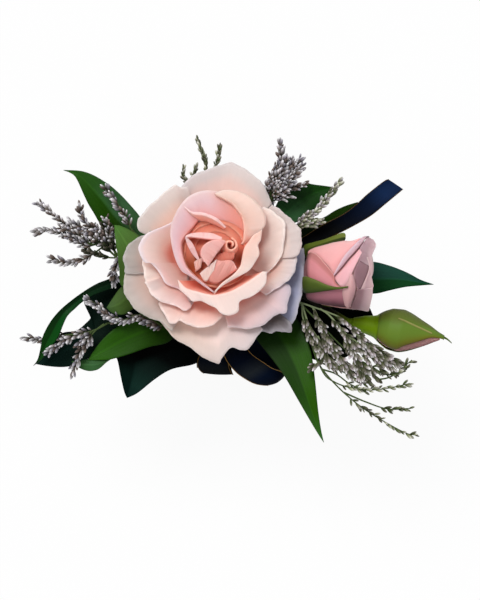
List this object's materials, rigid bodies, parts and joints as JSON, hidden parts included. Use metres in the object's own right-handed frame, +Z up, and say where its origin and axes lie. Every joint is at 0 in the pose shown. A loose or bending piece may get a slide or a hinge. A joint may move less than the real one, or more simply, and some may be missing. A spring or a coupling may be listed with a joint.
{
  "type": "wrist corsage",
  "caption": "Spray of an open rose, an opening rose, a green bud, ruscus leaves, limonium sprigs and gold-edged ribbon on a clip and a stretch wrist band.",
  "frame": {"origin": "middle of the band's lower face, under the wrist", "axes": "+X along the forearm, towards the green bud; +Y to the back of the spray; +Z up out of the spray"},
  "size_m": [0.1289, 0.0924, 0.0717],
  "materials": {
    "elastic": "woven elastic",
    "tin": "satin",
    "tape": "waxed crepe",
    "leaf": "glossy, fresh leaf",
    "shade_leaf": "glossy, dark leaf",
    "sepal": "matte, fresh sepal",
    "blush": "velvety petal",
    "salmon": "velvety petal",
    "bud_pink": "velvety petal",
    "limonium": "dry papery flowers",
    "ribbon": "satin with gold edges"
  },
  "bodies": {
    "corsage": {"band_top": "elastic", "band_side_front": "elastic", "band_side_back": "elastic", "clip_plate": "tin", "stem_bundle": "tape", "rosebud_stem": "tape", "bud_stem": "tape", "leaf_upper_left": "leaf", "leaf_left_upright": "leaf", "leaf_left_low": "leaf", "leaf_far_left_arch": "leaf", "leaf_far_left_shade": "shade_leaf", "leaf_lower_left": "leaf", "leaf_bottom_shade": "shade_leaf", "leaf_lower_right": "leaf", "leaf_right": "shade_leaf", "leaf_side_shade": "shade_leaf", "leaf_upper_right": "leaf", "leaf_under_ribbon": "shade_leaf", "sprig_left": "limonium", "sprig_upper_left": "limonium", "sprig_lower_left": "limonium", "sprig_far_left": "limonium", "sprig_top": "limonium", "sprig_upper_right": "limonium", "sprig_right": "limonium", "sprig_lower_right": "limonium", "ribbon_knot": "ribbon", "ribbon_loop_right": "ribbon", "ribbon_loop_left": "ribbon", "ribbon_tail_root": "ribbon", "rose_calyx": "sepal", "rose_heart": "salmon", "rose_outer_petal_1": "blush", "rose_outer_petal_2": "blush", "rose_outer_petal_3": "blush", "rose_outer_petal_4": "blush", "rose_outer_petal_5": "blush", "rose_outer_petal_6": "blush", "rose_middle_petal_1": "blush", "rose_middle_petal_2": "blush", "rose_middle_petal_3": "blush", "rose_middle_petal_4": "blush", "rose_middle_petal_5": "blush", "rose_inner_petal_1": "salmon", "rose_inner_petal_2": "salmon", "rose_inner_petal_3": "salmon", "rose_inner_petal_4": "salmon", "rosebud_calyx": "sepal", "rosebud_heart": "salmon", "rosebud_petal_1": "bud_pink", "rosebud_petal_2": "bud_pink", "rosebud_petal_3": "bud_pink", "rosebud_petal_4": "bud_pink"},
    "band_run": {"band_bottom": "elastic"},
    "front_prong": {"clip_prong_front": "tin"},
    "back_prong": {"clip_prong_back": "tin"},
    "green_bud": {"bud_petals": "bud_pink", "bud_sepals": "sepal"},
    "ribbon_end": {"ribbon_tail": "ribbon"}
  },
  "joints": [
    {"name": "band_stretch", "type": "slide", "parent": "corsage", "child": "band_run", "axis": [0, 0, -1], "range_m": [0, 0.02], "stiffness_N_per_m": 200, "deforming": ["band_side_front", "band_side_back"]},
    {"name": "front_prong_bend", "type": "hinge", "parent": "corsage", "child": "front_prong", "pos_m": [-0.012, -0.0076, 0.0415], "axis": [1, 0, 0], "range_deg": [0, 60]},
    {"name": "back_prong_bend", "type": "hinge", "parent": "corsage", "child": "back_prong", "pos_m": [0.003, 0.0076, 0.0415], "axis": [-1, 0, 0], "range_deg": [0, 60]},
    {"name": "bud_bend", "type": "hinge", "parent": "corsage", "child": "green_bud", "pos_m": [0.0351, -0.0161, 0.051], "axis": [-0.1876, -0.9822, 0], "range_deg": [-10, 20]},
    {"name": "ribbon_bend", "type": "hinge", "parent": "corsage", "child": "ribbon_end", "pos_m": [0.0204, 0.0085, 0.052], "axis": [0.6097, -0.7926, 0], "range_deg": [-8, 20]}
  ]
}
